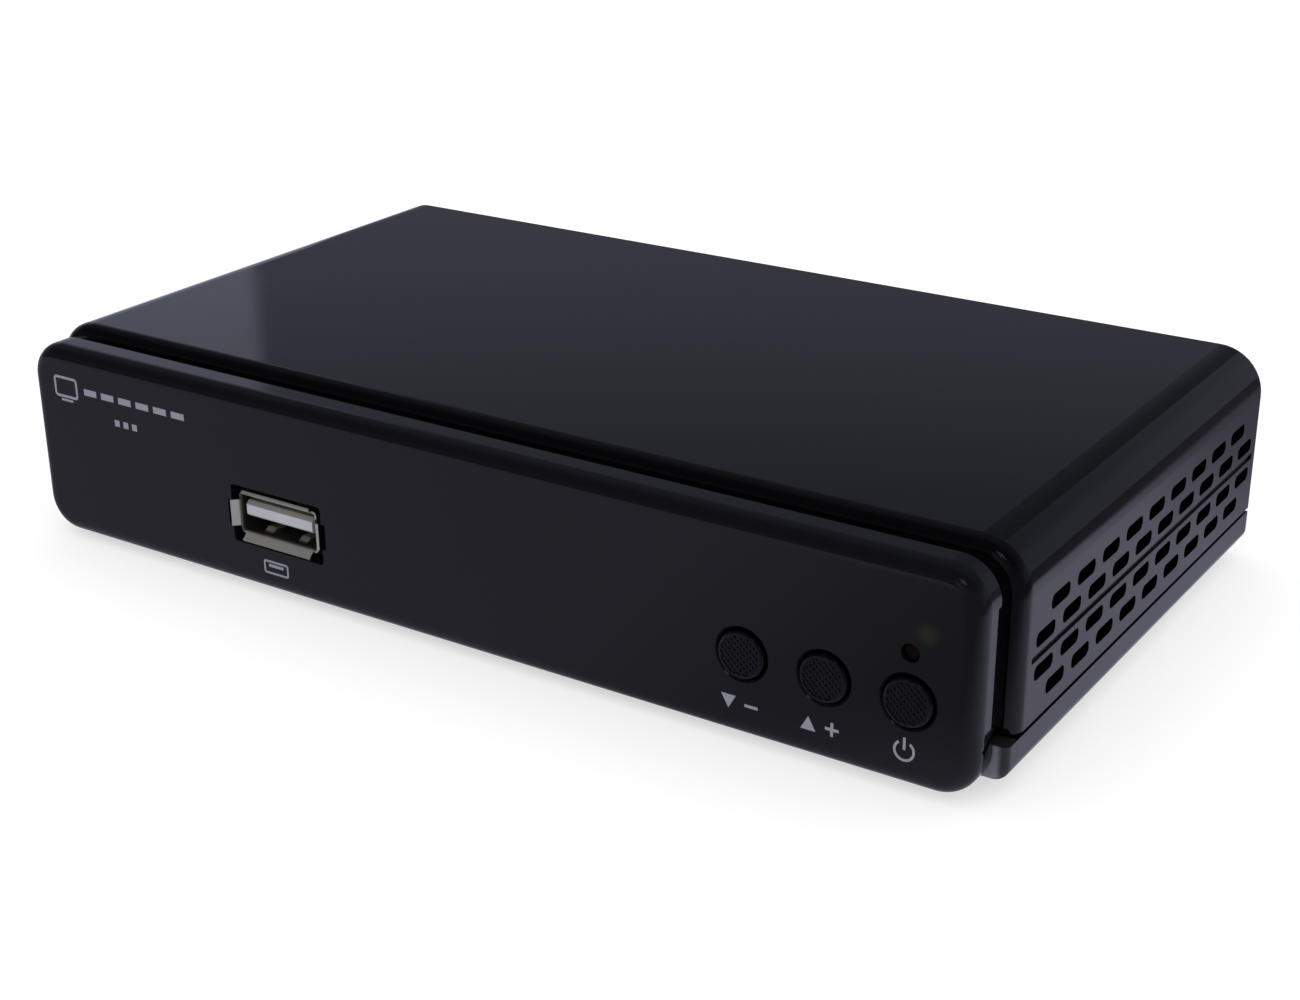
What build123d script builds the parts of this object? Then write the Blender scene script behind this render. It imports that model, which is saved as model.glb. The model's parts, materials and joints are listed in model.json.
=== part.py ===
"""Small set-top television recorder: a two-part casing with a clipped front panel, three sprung
buttons, a USB port, a main board and a rear row of connectors.

Frame: +Z is up, the front panel faces -Y, and the origin is the centre of the bounding box's
bottom, on the surface that the feet stand on. All sizes are in millimetres.
"""

import os

from build123d import *

os.makedirs("parts", exist_ok=True)

# ---------------------------------------------------------------- driving dimensions

# Casing
case_width = 144.0
case_bottom_z = 1.9
case_top_z = 28.7
case_depth = 74.1
top_corner_r = 6.0
edge_r = 1.9
wall = 2.0
parting_z = 6.6
parting_gap = 0.5

# Front panel
panel_width = 140.6
panel_bottom_z = 0.8
panel_top_z = 27.8
panel_depth = 4.4
panel_plate = 2.2
panel_skirt = 1.8
panel_corner_r = 4.8
panel_edge_r = 2.1
reveal = 2.2

# Stations along the depth, front to back
button_proud = 0.4
connector_proud = 8.8
overall_depth = button_proud + panel_depth + reveal + case_depth + connector_proud
face_y = button_proud - overall_depth / 2
plate_back_y = face_y + panel_plate
skirt_back_y = face_y + panel_depth
case_front_y = skirt_back_y + reveal
case_rear_y = case_front_y + case_depth
rear_end_y = overall_depth / 2

# Neck of the casing, which the front panel's skirt slides over
neck_clearance = 0.2
neck_wall = 1.6
neck_half = panel_width / 2 - panel_skirt - neck_clearance
neck_bottom_z = panel_bottom_z + panel_skirt + neck_clearance
neck_top_z = panel_top_z - panel_skirt - neck_clearance
neck_front_y = plate_back_y + neck_clearance
neck_r = 2.6
# Behind the panel's skirt the neck swells, and the base runs forward to the skirt
collar_front_y = skirt_back_y + neck_clearance
collar_half = panel_width / 2 - 0.5
collar_top_z = panel_top_z - 0.8
collar_r = 4.0
base_front_r = 0.9

# Side vents
vent_pitch = 7.05
vent_length = 5.0
vent_height = 1.8
vent_r = 0.75
vent_outer_first_y = face_y + 16.25
vent_inner_first_y = face_y + 12.7
vent_outer_count = 9
vent_inner_count = 10
vent_centre_z = 14.7
vent_inner_dz = 2.0
vent_outer_dz = 5.1
side_groove_height = 0.8
side_groove_depth = 0.4

# Boards
board_thickness = 1.6
usb_x = -27.25
usb_z = 10.94
usb_wall = 0.3
usb_inner_width = 12.5
usb_inner_height = 5.12
main_top_z = usb_z - usb_inner_height / 2 - usb_wall
main_bottom_z = main_top_z - board_thickness
main_half = 59.5
main_front_y = face_y + 3.4
main_notch_x = 30.0
front_board_y = face_y + 9.4
front_board_low = (35.0, 4.6)
front_board_high = (66.5, 23.4)
main_notch_y = front_board_y + board_thickness + 2.0

# Buttons
button_x = {"channel_down": 41.8, "channel_up": 52.15, "power": 62.3}
button_z = 11.3
button_r = 2.95
button_hole_r = 3.2
button_hole_chamfer = 0.25
button_travel = 0.5
flange_r = 4.1
stem_r = 1.5
plunger_r = 1.75
plunger_tip_y = front_board_y - 4.4
switch_height = 3.2
switch_cover = 0.3
switch_half = 3.0
switch_floor = 1.2
dome_r = 1.6
dome_height = 0.3

# Light pipe and remote-control receiver
light_z = 17.1
light_r = 1.0
ir_x = 64.2
ir_z = 19.7

# Rear panel and its connectors
rear_panel_y = case_rear_y - 3.0
rear_panel_thickness = 1.5
rear_panel_back_y = rear_panel_y + rear_panel_thickness
main_rear_y = rear_panel_y - 0.8
antenna_x = {"antenna_in": 48.0, "antenna_out": 32.0}
antenna_z = 15.0
antenna_r = 4.76
antenna_root_r = 4.6
antenna_bore_r = 3.4
hdmi_x = 6.0
hdmi_width = 14.0
hdmi_height = 4.55
jack_x = {"video_jack": -13.5, "left_audio_jack": -25.5, "right_audio_jack": -37.5}
jack_z = 15.2
jack_r = 4.15
jack_collar_r = 4.35
jack_inner_r = 3.6
jack_hole_r = 1.65
power_x = -52.0
power_z = 13.8
power_bore_r = 3.2
power_pin_r = 1.0
power_nose_r = 4.2

# Posts, standoffs, screws and feet
case_posts = [(x, y) for x in (-64.5, 64.5) for y in (-28.6, 27.0)]
standoffs = [(x, y) for x in (-55.0, 55.0) for y in (-26.0, 6.0)]
feet_at = [(x, y) for x in (-50.0, 50.0) for y in (-24.0, 24.0)]
post_top_z = 9.9
post_r = 4.1
foot_r = 4.7
foot_recess = 0.5
label_size = (46.0, 24.0)
label_recess = 0.25

case_half = case_width / 2
floor_z = case_bottom_z + wall
ceiling_z = case_top_z - wall


# ---------------------------------------------------------------- helpers

def across(y):
    """A sketch plane that faces forward at depth y: sketch x is X, and sketch y is Z."""
    return Plane.XZ.offset(-y)


def draw_box(low, high):
    """Draw a rectangle between two corners in the active sketch."""
    with Locations(((low[0] + high[0]) / 2, (low[1] + high[1]) / 2)):
        Rectangle(high[0] - low[0], high[1] - low[1])


def draw_section(half_width, low, high, top_radius=0.0, bottom_radius=0.0):
    """Draw a casing section in the active sketch, with rounded upper and lower corners."""
    draw_box((-half_width, low), (half_width, high))
    if top_radius:
        fillet(vertices().group_by(Axis.Y)[-1], top_radius)
    if bottom_radius:
        fillet(vertices().group_by(Axis.Y)[0], bottom_radius)


def block(low, high, mode=Mode.ADD):
    """Add a box between two corners to the active part, or cut it away."""
    middle = [(a + b) / 2 for a, b in zip(low, high)]
    size = [b - a for a, b in zip(low, high)]
    with Locations(tuple(middle)):
        Box(*size, mode=mode)


def rod(x, z, radius, front_y, back_y, mode=Mode.ADD):
    """Add a round bar along the depth to the active part, or cut it away."""
    with BuildSketch(across(front_y)) as profile:
        with Locations((x, z)):
            Circle(radius)
    extrude(profile.sketch, amount=front_y - back_y, mode=mode)


def post(x, y, radius, low_z, high_z, mode=Mode.ADD):
    """Add an upright round post to the active part, or cut it away."""
    with BuildSketch(Plane.XY.offset(low_z)) as profile:
        with Locations((x, y)):
            Circle(radius)
    extrude(profile.sketch, amount=high_z - low_z, mode=mode)


def finish(part, name):
    """Label a finished piece and write it."""
    part.label = name
    export_step(part, "parts/" + name + ".step")


# ---------------------------------------------------------------- casing

upper_low_z = parting_z + parting_gap / 2
lower_high_z = parting_z - parting_gap / 2
flange_back_y = case_front_y + wall
rear_rim = 1.2
boss_r = 3.2
boss_pilot_r = 1.3
boss_pilot_depth = 9.0
boss_low_z = post_top_z + 0.1
stop_x = (-45.0, 0.0, 45.0)
stop_half = 4.0
stop_drop = 1.2
groove_ends_y = (face_y + 9.3, case_rear_y - 1.2)

vents = []
for dz in (-vent_outer_dz, vent_outer_dz):
    vents += [(vent_outer_first_y + vent_pitch * i, vent_centre_z + dz) for i in range(vent_outer_count)]
for dz in (-vent_inner_dz, vent_inner_dz):
    vents += [(vent_inner_first_y + vent_pitch * i, vent_centre_z + dz) for i in range(vent_inner_count)]

with BuildPart() as upper_shell:
    # Outer skin with a rolled front edge and a square rear edge
    with BuildSketch(across(case_front_y)):
        draw_section(case_half, upper_low_z, case_top_z, top_corner_r)
    extrude(amount=-case_depth)
    front_rim = faces().sort_by(Axis.Y)[0].edges().sort_by(Axis.Z)[1:]
    fillet(front_rim, edge_r)
    # Hollow behind the front flange
    with BuildSketch(across(flange_back_y)):
        draw_section(case_half - wall, upper_low_z - 1, ceiling_z, top_corner_r - wall)
    extrude(amount=flange_back_y - rear_panel_back_y - 0.1, mode=Mode.SUBTRACT)
    # Rear opening, with a rim that keeps the rear panel in
    with BuildSketch(across(rear_panel_back_y)):
        draw_section(
            case_half - wall - rear_rim,
            upper_low_z - 1,
            ceiling_z - rear_rim,
            top_corner_r - wall - rear_rim,
        )
    extrude(amount=-10, mode=Mode.SUBTRACT)
    # Neck that carries the front panel
    with BuildSketch(across(neck_front_y)):
        draw_section(neck_half, upper_low_z, neck_top_z, neck_r)
    extrude(amount=neck_front_y - flange_back_y)
    with BuildSketch(across(collar_front_y)):
        draw_section(collar_half, upper_low_z, collar_top_z, collar_r)
    extrude(amount=collar_front_y - case_front_y - 1)
    with BuildSketch(across(neck_front_y)):
        draw_section(neck_half - neck_wall, upper_low_z - 1, neck_top_z - neck_wall, neck_r - neck_wall)
    extrude(amount=neck_front_y - flange_back_y, mode=Mode.SUBTRACT)
    # Screw bosses under the roof
    for x, y in case_posts:
        post(x, y, boss_r, boss_low_z, ceiling_z + 0.5)
    for x, y in case_posts:
        post(x, y, boss_pilot_r, boss_low_z, boss_low_z + boss_pilot_depth, Mode.SUBTRACT)
    # Stops that hold the rear panel against its rim
    for x in stop_x:
        block(
            (x - stop_half, rear_panel_y - 0.1 - stop_drop, ceiling_z - stop_drop),
            (x + stop_half, rear_panel_y - 0.1, ceiling_z + 0.5),
        )
    # Staggered vent slots and the shallow groove between their middle rows, on both sides
    for side in (-1, 1):
        with BuildSketch(Plane.YZ.offset(side * case_half)):
            with Locations(*vents):
                RectangleRounded(vent_length, vent_height, vent_r)
        extrude(amount=wall + 0.5, both=True, mode=Mode.SUBTRACT)
        with BuildSketch(Plane.YZ.offset(side * case_half)):
            draw_box(
                (groove_ends_y[0], vent_centre_z - side_groove_height / 2),
                (groove_ends_y[1], vent_centre_z + side_groove_height / 2),
            )
        extrude(amount=side_groove_depth, both=True, mode=Mode.SUBTRACT)
finish(upper_shell.part, "upper_shell")

lip_half = case_half - wall - 0.1
lip_thickness = 0.9
lip_rise = 1.2
counterbore_r = 3.1
counterbore_top_z = 5.5
clearance_r = 1.6
standoff_r = 2.6
standoff_pilot_r = 0.9
standoff_pilot_z = 3.1
rib_top_z = 7.6
rib_x = (37.5, 47.0, 57.0)
rib_half = 1.5
rib_back_y = front_board_y + 3.0
label_y = 6.0
grille_x = [-21.0 + 6.0 * i for i in range(8)]
grille_y = -20.0
grille_slot = (12.0, 2.0)

with BuildPart() as lower_shell:
    # Shallow tray with rolled lower edges
    with BuildSketch(across(collar_front_y)):
        draw_section(case_half, case_bottom_z, lower_high_z, 0.0, edge_r)
    extrude(amount=collar_front_y - case_rear_y)
    fillet(faces().sort_by(Axis.Y)[0].edges().sort_by(Axis.Z)[:-1], base_front_r)
    block(
        (-case_half + wall, flange_back_y, floor_z),
        (case_half - wall, rear_panel_back_y + 0.1, parting_z + 1),
        Mode.SUBTRACT,
    )
    block(
        (-case_half + wall + rear_rim, rear_panel_back_y, floor_z + 1.0),
        (case_half - wall - rear_rim, case_rear_y + 1, parting_z + 1),
        Mode.SUBTRACT,
    )
    # Lower half of the neck
    with BuildSketch(across(neck_front_y)):
        draw_section(neck_half, neck_bottom_z, lower_high_z, 0.0, neck_r)
    extrude(amount=neck_front_y - flange_back_y)
    block(
        (-neck_half + neck_wall, neck_front_y - 1, neck_bottom_z + neck_wall),
        (neck_half - neck_wall, flange_back_y + 1, parting_z + 1),
        Mode.SUBTRACT,
    )
    # Lips that stand inside the upper shell's side walls
    for side in (-1, 1):
        inner, outer = sorted((side * (lip_half - lip_thickness), side * lip_half))
        block((inner, flange_back_y, floor_z - 0.5), (outer, rear_panel_y - 0.2, parting_z + lip_rise))
        inner, outer = sorted((side * (lip_half - lip_thickness), side * (lip_half + 0.5)))
        block((inner, flange_back_y, floor_z - 0.5), (outer, rear_panel_y - 0.2, lower_high_z))
    # Screw posts with counterbores from below
    for x, y in case_posts:
        post(x, y, post_r, floor_z - 0.5, post_top_z)
    for x, y in case_posts:
        post(x, y, counterbore_r, case_bottom_z - 1, counterbore_top_z, Mode.SUBTRACT)
        post(x, y, clearance_r, case_bottom_z, post_top_z + 1, Mode.SUBTRACT)
    # Standoffs for the main board
    for x, y in standoffs:
        post(x, y, standoff_r, floor_z - 0.3, main_bottom_z)
    for x, y in standoffs:
        post(x, y, standoff_pilot_r, standoff_pilot_z, main_bottom_z + 1, Mode.SUBTRACT)
    # Slotted ribs that hold the front board upright
    for x in rib_x:
        block((x - rib_half, front_board_y - 1.4, floor_z - 0.2), (x + rib_half, rib_back_y, rib_top_z))
        block(
            (x - rib_half - 0.1, front_board_y - 0.1, front_board_low[1]),
            (x + rib_half + 0.1, front_board_y + board_thickness + 0.1, rib_top_z + 0.1),
            Mode.SUBTRACT,
        )
    # Recesses for the feet and the underside label, and the floor grille
    for x, y in feet_at:
        post(x, y, foot_r + 0.1, case_bottom_z - 1, case_bottom_z + foot_recess, Mode.SUBTRACT)
    with BuildSketch(Plane.XY.offset(case_bottom_z)):
        with Locations((0, label_y)):
            Rectangle(label_size[0] + 0.4, label_size[1] + 0.4)
    extrude(amount=label_recess, mode=Mode.SUBTRACT)
    with BuildSketch(Plane.XY.offset(case_bottom_z)):
        with Locations(*[(x, grille_y) for x in grille_x]):
            SlotOverall(*grille_slot, rotation=90)
    extrude(amount=wall, mode=Mode.SUBTRACT)
finish(lower_shell.part, "lower_shell")

with BuildPart() as rear_panel:
    with BuildSketch(across(rear_panel_y)):
        draw_section(case_half - wall - 0.3, floor_z + 0.1, ceiling_z - 0.15, top_corner_r - wall)
    extrude(amount=-rear_panel_thickness)
    for x in antenna_x.values():
        rod(x, antenna_z, antenna_r + 0.2, rear_panel_y - 1, rear_panel_back_y + 1, Mode.SUBTRACT)
    for x in jack_x.values():
        rod(x, jack_z, jack_collar_r + 0.15, rear_panel_y - 1, rear_panel_back_y + 1, Mode.SUBTRACT)
    rod(power_x, power_z, power_nose_r + 0.3, rear_panel_y - 1, rear_panel_back_y + 1, Mode.SUBTRACT)
    block(
        (hdmi_x - hdmi_width / 2 - 0.8, rear_panel_y - 1, main_top_z - 0.3),
        (hdmi_x + hdmi_width / 2 + 0.8, rear_panel_back_y + 1, main_top_z + hdmi_height + 1.2),
        Mode.SUBTRACT,
    )
finish(rear_panel.part, "rear_panel")

# ---------------------------------------------------------------- front panel and buttons

port_cut = (15.15, 7.9)
port_cut_r = 0.5
port_cut_x = usb_x + 0.2
port_notch = (16.4, 3.4)
light_hole_r = 1.1
relief_depth = 0.75
relief_z = (8.6, 22.8)
slit_width = 0.9
slit_length = 3.6
slit_angle = 33.0
slit_at = (face_y + 3.5, panel_bottom_z + 6.6)

with BuildPart() as front_panel:
    # Shallow tray with a rolled front edge
    with BuildSketch(across(face_y)):
        draw_section(panel_width / 2, panel_bottom_z, panel_top_z, panel_corner_r, panel_corner_r)
    extrude(amount=-panel_depth)
    fillet(faces().sort_by(Axis.Y)[0].edges(), panel_edge_r)
    with BuildSketch(across(plate_back_y)):
        draw_section(
            panel_width / 2 - panel_skirt,
            panel_bottom_z + panel_skirt,
            panel_top_z - panel_skirt,
            neck_r + neck_clearance,
            neck_r + neck_clearance,
        )
    extrude(amount=-panel_depth, mode=Mode.SUBTRACT)
    # Reliefs behind the side skirts, and the slit in line with the casing's parting line
    for side in (-1, 1):
        x_low, x_high = sorted((side * (panel_width / 2 - 3), side * (panel_width / 2 + 1)))
        block(
            (x_low, skirt_back_y - relief_depth, relief_z[0]),
            (x_high, skirt_back_y + 1, relief_z[1]),
            Mode.SUBTRACT,
        )
        with BuildSketch(Plane.YZ.offset(side * panel_width / 2)):
            with Locations(slit_at):
                Rectangle(slit_length, slit_width, rotation=slit_angle)
        extrude(amount=panel_skirt, both=True, mode=Mode.SUBTRACT)
    # Openings for the buttons, the light pipe and the port
    with BuildSketch(across(face_y)):
        with Locations(*[(x, button_z) for x in button_x.values()]):
            Circle(button_hole_r)
        with Locations((button_x["power"], light_z)):
            Circle(light_hole_r)
        with Locations((port_cut_x, usb_z)):
            RectangleRounded(*port_cut, port_cut_r)
            Rectangle(*port_notch)
    extrude(amount=-panel_plate, mode=Mode.SUBTRACT)
    hole_edges = edges().filter_by(GeomType.CIRCLE).group_by(Axis.Y)[0]
    hole_edges = hole_edges.filter_by(lambda e: abs(e.radius - button_hole_r) < 0.01)
    chamfer(hole_edges, button_hole_chamfer)
finish(front_panel.part, "front_panel")

knurl_r = 2.45
knurl_pitch = 0.56
knurl_width = 0.24
knurl_depth = 0.14
knurl_rows = int(knurl_r / knurl_pitch)
cap_rim_r = 0.45
flange_thickness = 0.9
plunger_back_y = front_board_y - switch_floor - dome_height - button_travel - 0.2

for name, x in button_x.items():
    with BuildPart() as button:
        cap_front_y = face_y - button_proud
        cap_back_y = plate_back_y + 0.3
        rod(x, button_z, button_r, cap_front_y, cap_back_y)
        fillet(faces().sort_by(Axis.Y)[0].edges(), cap_rim_r)
        # Crossed grooves on the face
        with BuildSketch(across(cap_front_y)):
            for turn in (45, -45):
                for row in range(-knurl_rows, knurl_rows + 1):
                    step = row * knurl_pitch
                    length = 2 * (knurl_r**2 - step**2) ** 0.5
                    centre = Vector(step, 0).rotate(Axis.Z, turn)
                    with Locations((x + centre.X, button_z + centre.Y)):
                        Rectangle(knurl_width, length, rotation=turn)
        extrude(amount=-knurl_depth, mode=Mode.SUBTRACT)
        # Flange that keeps the cap behind the panel, and the stem that presses the switch
        rod(x, button_z, flange_r, cap_back_y, cap_back_y + flange_thickness)
        rod(x, button_z, stem_r, cap_back_y, plunger_tip_y)
    finish(button.part, name + "_button")

    with BuildPart() as plunger:
        rod(x, button_z, plunger_r, plunger_tip_y, plunger_back_y)
        chamfer(faces().sort_by(Axis.Y)[0].edges(), 0.2)
    finish(plunger.part, name + "_plunger")

# ---------------------------------------------------------------- front board

front_board_back_y = front_board_y + board_thickness
header_height = 2.5
link_x = [50.0 + 2.54 * i for i in range(-2, 3)]
link_z = main_top_z + header_height / 2
link_y = main_notch_y + 1.8
link_hole_r = 0.5
pin_half = 0.32

well_front_y = front_board_y - switch_floor
plunger_clearance = 0.06
led_half = (1.0, 0.7)
receiver_front_y = front_board_y - 4.6

with BuildPart() as front_board:
    block(
        (front_board_low[0], front_board_y, front_board_low[1]),
        (front_board_high[0], front_board_back_y, front_board_high[1]),
    )
    for x in link_x:
        rod(x, link_z, link_hole_r, front_board_y - 1, front_board_back_y + 1, Mode.SUBTRACT)
finish(front_board.part, "front_board")

with BuildPart() as switch_housings:
    for x in button_x.values():
        block(
            (x - switch_half, front_board_y - switch_height, button_z - switch_half),
            (x + switch_half, front_board_y, button_z + switch_half),
        )
        rod(x, button_z, plunger_r + plunger_clearance, front_board_y - 10, well_front_y, Mode.SUBTRACT)
finish(switch_housings.part, "switch_housings")

with BuildPart() as switch_covers:
    for x in button_x.values():
        cover_y = front_board_y - switch_height
        block(
            (x - switch_half + 0.1, cover_y - switch_cover, button_z - switch_half + 0.1),
            (x + switch_half - 0.1, cover_y, button_z + switch_half - 0.1),
        )
        rod(x, button_z, plunger_r + plunger_clearance, cover_y - 1, cover_y + 1, Mode.SUBTRACT)
finish(switch_covers.part, "switch_covers")

with BuildPart() as switch_domes:
    for x in button_x.values():
        with BuildSketch(across(well_front_y)):
            with Locations((x, button_z)):
                Circle(dome_r)
        extrude(amount=dome_height, taper=60)
finish(switch_domes.part, "switch_domes")

with BuildPart() as status_led:
    block(
        (button_x["power"] - led_half[0], front_board_y - 0.8, light_z - led_half[1]),
        (button_x["power"] + led_half[0], front_board_y, light_z + led_half[1]),
    )
finish(status_led.part, "status_led")

with BuildPart() as light_pipe:
    rod(button_x["power"], light_z, light_r, face_y + 0.4, front_board_y - 0.9)
    fillet(faces().sort_by(Axis.Y)[0].edges(), 0.3)
finish(light_pipe.part, "light_pipe")

with BuildPart() as ir_receiver:
    block((ir_x - 2.2, receiver_front_y, ir_z - 1.2), (ir_x + 2.2, front_board_y, ir_z + 3.4))
    fillet(edges().filter_by(Axis.Z), 0.4)
    with Locations((ir_x, receiver_front_y, ir_z + 0.4)):
        Sphere(1.5)
finish(ir_receiver.part, "ir_receiver")

with BuildPart() as link_pins:
    for x in link_x:
        block(
            (x - pin_half, front_board_y + 0.05, link_z - pin_half),
            (x + pin_half, link_y + pin_half, link_z + pin_half),
        )
        block(
            (x - pin_half, link_y - pin_half, main_bottom_z - 0.8),
            (x + pin_half, link_y + pin_half, link_z + pin_half),
        )
finish(link_pins.part, "link_pins")

with BuildPart() as link_header:
    block(
        (link_x[0] - 1.3, link_y - 1.25, main_top_z),
        (link_x[-1] + 1.3, link_y + 1.25, main_top_z + header_height),
    )
    for x in link_x:
        block(
            (x - pin_half, link_y - 2, link_z - pin_half),
            (x + pin_half, link_y + pin_half, link_z + pin_half),
            Mode.SUBTRACT,
        )
        block(
            (x - pin_half, link_y - pin_half, main_top_z - 1),
            (x + pin_half, link_y + pin_half, link_z + pin_half),
            Mode.SUBTRACT,
        )
finish(link_header.part, "link_header")

# ---------------------------------------------------------------- USB port

usb_front_y = face_y + 0.6
usb_back_y = face_y + 13.6
usb_half_x = usb_inner_width / 2
usb_half_z = usb_inner_height / 2
usb_lip_reach = {1: 0.5, -1: 0.9}
usb_side_lip_reach = 1.0
lip_skin = usb_wall / 2**0.5
tab_width = 1.4
tab_x = 2.9
tab_back_y = face_y + 7.4
tab_front_y = face_y + 2.5
tab_tip = 0.9
tab_drop = 0.6
tab_gap = 0.2
usb_legs_y = (face_y + 5.0, face_y + 10.6)
usb_leg_length = 2.0
lip_half_x = 5.7
lip_half_z = 1.8
contact_height = 0.25


def lip_profile(reach):
    """The side view of a flared lip: a bent strip that starts at the wall's inner face.

    The first number of each point runs forward from the straight wall, the second outward.
    """
    return [
        (0.0, 0.0),
        (reach, reach),
        (reach - lip_skin, reach + lip_skin),
        (-0.12, usb_wall),
    ]


with BuildPart() as usb_shell:
    with BuildSketch(across(usb_front_y)):
        with Locations((usb_x, usb_z)):
            RectangleRounded(usb_inner_width + 2 * usb_wall, usb_inner_height + 2 * usb_wall, 0.6)
            RectangleRounded(usb_inner_width, usb_inner_height, 0.3, mode=Mode.SUBTRACT)
    extrude(amount=usb_front_y - usb_back_y)
    for side in (-1, 1):
        # Flared lips above and below
        with BuildSketch(Plane.YZ.offset(usb_x)):
            with BuildLine():
                lip = lip_profile(usb_lip_reach[side])
                Polyline(*[(usb_front_y - f, usb_z + side * (usb_half_z + o)) for f, o in lip], close=True)
            make_face()
        extrude(amount=lip_half_x, both=True)
        # Flared lips at the sides
        with BuildSketch(Plane.XY.offset(usb_z)):
            with BuildLine():
                lip = lip_profile(usb_side_lip_reach)
                Polyline(*[(usb_x + side * (usb_half_x + o), usb_front_y - f) for f, o in lip], close=True)
            make_face()
        extrude(amount=lip_half_z, both=True)
        # Windows in the walls above and below
        for x in (usb_x - tab_x, usb_x + tab_x):
            low_z, high_z = sorted((usb_z + side * (usb_half_z - 0.1), usb_z + side * (usb_half_z + 1)))
            block(
                (x - tab_width / 2 - tab_gap, tab_front_y - tab_tip - tab_gap, low_z),
                (x + tab_width / 2 + tab_gap, tab_back_y, high_z),
                Mode.SUBTRACT,
            )
    # Spring tabs, one in each window, bent into the opening and out again at the tip
    for side in (-1, 1):
        for x in (usb_x - tab_x, usb_x + tab_x):
            root_z = usb_z + side * (usb_half_z + usb_wall / 2)
            with BuildSketch(Plane.YZ.offset(x)):
                with BuildLine():
                    Polyline(
                        (tab_back_y + 0.2, root_z + side * usb_wall / 2),
                        (tab_back_y + 0.2, root_z - side * usb_wall / 2),
                        (tab_front_y, root_z - side * (usb_wall / 2 + tab_drop)),
                        (tab_front_y - tab_tip, root_z - side * usb_wall / 2),
                        (tab_front_y - tab_tip, root_z + side * usb_wall / 2),
                        (tab_front_y, root_z - side * (tab_drop - usb_wall / 2)),
                        close=True,
                    )
                make_face()
            extrude(amount=tab_width / 2, both=True)
    # Legs that are soldered into the main board
    for side in (-1, 1):
        inner, outer = sorted((usb_x + side * usb_half_x, usb_x + side * (usb_half_x + usb_wall)))
        for y in usb_legs_y:
            block((inner, y, main_bottom_z - 0.8), (outer, y + usb_leg_length, usb_z))
finish(usb_shell.part, "usb_shell")

tongue_high_z = usb_z + usb_half_z - 0.85
tongue_low_z = tongue_high_z - 2.1
tongue_half = 5.55
tongue_front_y = face_y + 0.8
usb_contact_y = face_y + 1.6
usb_contact_half = 0.5
usb_block_y = face_y + 10.4
usb_contact_x = [usb_x + dx for dx in (-3.5, -1.0, 1.0, 3.5)]

with BuildPart() as usb_tongue:
    block(
        (usb_x - tongue_half, tongue_front_y, tongue_low_z),
        (usb_x + tongue_half, usb_block_y, tongue_high_z),
    )
    tip_edges = faces().sort_by(Axis.Y)[0].edges().filter_by(Axis.X).sort_by(Axis.Z)
    chamfer(tip_edges[0], 0.3)
    chamfer(tip_edges[1], 0.5)
    block(
        (usb_x - usb_half_x + 0.3, usb_block_y, usb_z - usb_half_z + 0.03),
        (usb_x + usb_half_x - 0.3, usb_back_y - 0.2, usb_z + usb_half_z - 0.03),
    )
finish(usb_tongue.part, "usb_tongue")

with BuildPart() as usb_contacts:
    for x in usb_contact_x:
        block(
            (x - usb_contact_half, usb_contact_y, tongue_low_z - contact_height),
            (x + usb_contact_half, usb_block_y, tongue_low_z),
        )
finish(usb_contacts.part, "usb_contacts")

# ---------------------------------------------------------------- main board

chip_centre = (-6.0, -8.0)
chip_half = 8.5
chip_height = 1.6
sink_half = 11.0
sink_base = 2.0
sink_height = 8.0
sink_fins = 7
sink_fin = 1.2
memory_low = (12.0, -14.5)
memory_high = (21.0, -1.5)
flash_low = (-10.0, 9.0)
flash_high = (-5.0, 14.0)
crystal_at = (6.0, -25.0)
inductor_x = -47.0
inductor_y = (-11.0, -1.5)
inductor_half = 3.5
inductor_height = 4.2
regulator_at = [(-36.0, -9.0), (-28.0, -9.0), (22.0, 4.0)]
regulator_half = (3.2, 1.8)
chip_low_height = 1.1
# Each capacitor's x, y, radius and height
capacitor_places = [
    (-50.0, 14.0, 4.0, 11.0),
    (-40.0, 12.0, 3.15, 8.0),
    (-40.0, 3.0, 3.15, 8.0),
    (-30.0, 12.0, 3.15, 8.0),
    (14.0, 12.0, 3.15, 8.0),
    (-34.0, -22.0, 2.5, 7.0),
]
can_x = (24.5, 57.0)
can_y = (10.0, main_rear_y - 0.2)
can_top_z = main_top_z + 12.6
can_wall = 0.4
tuner_chip_low = (29.0, 16.0)
tuner_chip_high = (36.0, 23.0)

with BuildPart() as main_board:
    with BuildSketch(Plane.XY.offset(main_bottom_z)):
        with BuildLine():
            Polyline(
                (-main_half, main_front_y),
                (main_notch_x, main_front_y),
                (main_notch_x, main_notch_y),
                (main_half, main_notch_y),
                (main_half, main_rear_y),
                (-main_half, main_rear_y),
                close=True,
            )
        make_face()
        for x, y in standoffs:
            with Locations((x, y)):
                Circle(1.3, mode=Mode.SUBTRACT)
        for x in link_x:
            with Locations((x, link_y)):
                Circle(link_hole_r, mode=Mode.SUBTRACT)
        for side in (-1, 1):
            for y in usb_legs_y:
                with Locations((usb_x + side * (usb_half_x + usb_wall / 2), y + usb_leg_length / 2)):
                    Rectangle(0.8, usb_leg_length + 0.6, mode=Mode.SUBTRACT)
    extrude(amount=board_thickness)
finish(main_board.part, "main_board")

with BuildPart() as main_chip:
    block(
        (chip_centre[0] - chip_half, chip_centre[1] - chip_half, main_top_z),
        (chip_centre[0] + chip_half, chip_centre[1] + chip_half, main_top_z + chip_height),
    )
    chamfer(edges().filter_by(Axis.Z), 0.6)
finish(main_chip.part, "main_chip")

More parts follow.
